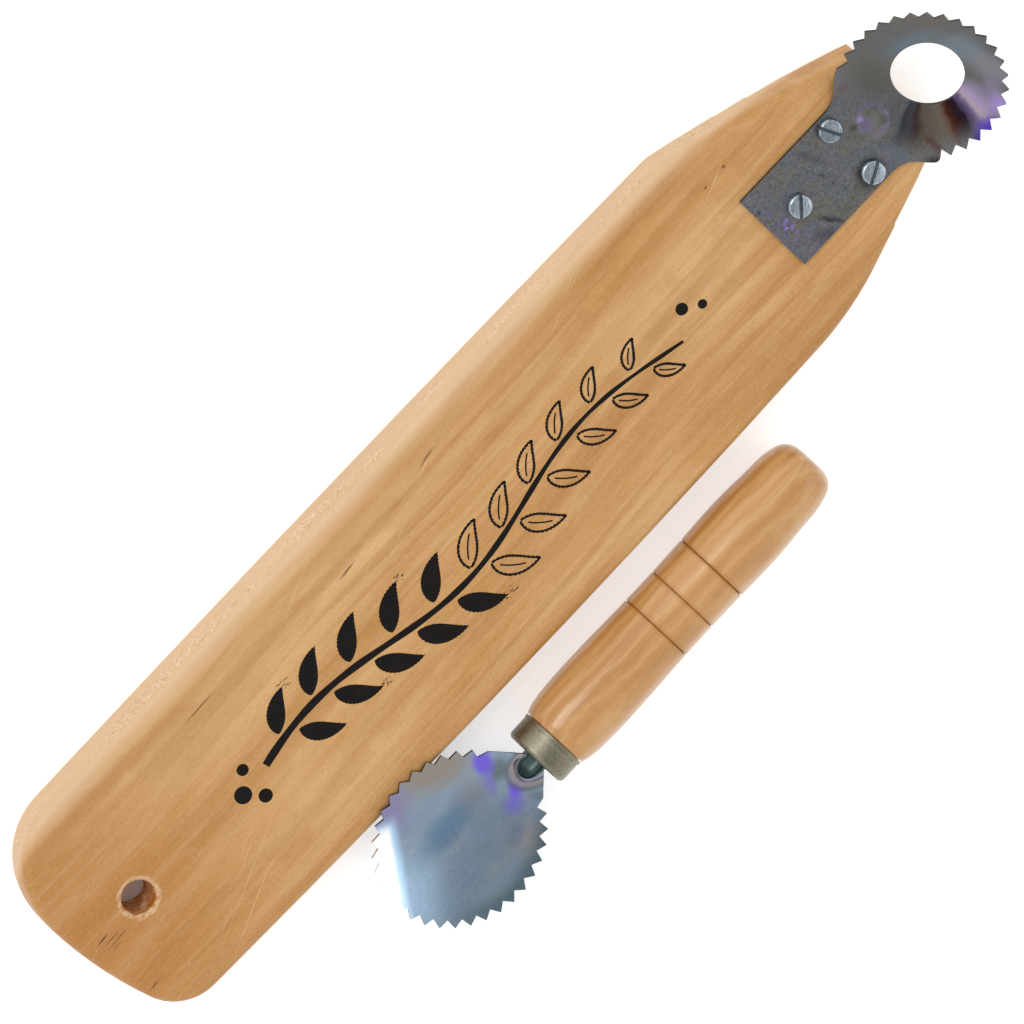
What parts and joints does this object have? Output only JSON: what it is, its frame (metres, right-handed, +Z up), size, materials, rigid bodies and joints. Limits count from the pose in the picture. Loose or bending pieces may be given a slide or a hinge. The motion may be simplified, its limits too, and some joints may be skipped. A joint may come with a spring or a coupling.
{
  "type": "coconut grater set",
  "caption": "Sit-on wooden plank with a screwed-on toothed scoop blade for grating coconut, and a loose hand scraper with a toothed dish blade.",
  "frame": {"origin": "middle of the plank's underside", "axes": "+X along the plank towards the blade, +Y towards the plank's left edge seen from its tail, +Z up from the underside"},
  "size_m": [0.4645, 0.161, 0.0441],
  "materials": {
    "plank_wood": "planed pine, varnished",
    "handle_wood": "turned pine, glossy varnish",
    "bench_steel": "dull pressed sheet with temper tints",
    "dish_steel": "bright pressed sheet with temper tints",
    "ferrule_steel": "satin drawn sheet",
    "screw_zinc": "zinc-plated steel"
  },
  "bodies": {
    "plank_body": {"plank": "plank_wood", "bench_blade": "bench_steel", "screw_left": "screw_zinc", "screw_right": "screw_zinc", "screw_rear": "screw_zinc"},
    "scraper_body": {"handle": "handle_wood", "ferrule": "ferrule_steel", "hand_blade": "dish_steel"}
  },
  "joints": [
    {"name": "scraper_lift", "type": "slide", "parent": "plank_body", "child": "scraper_body", "axis": [0, 0, 1], "range_m": [0, 0.1]}
  ]
}
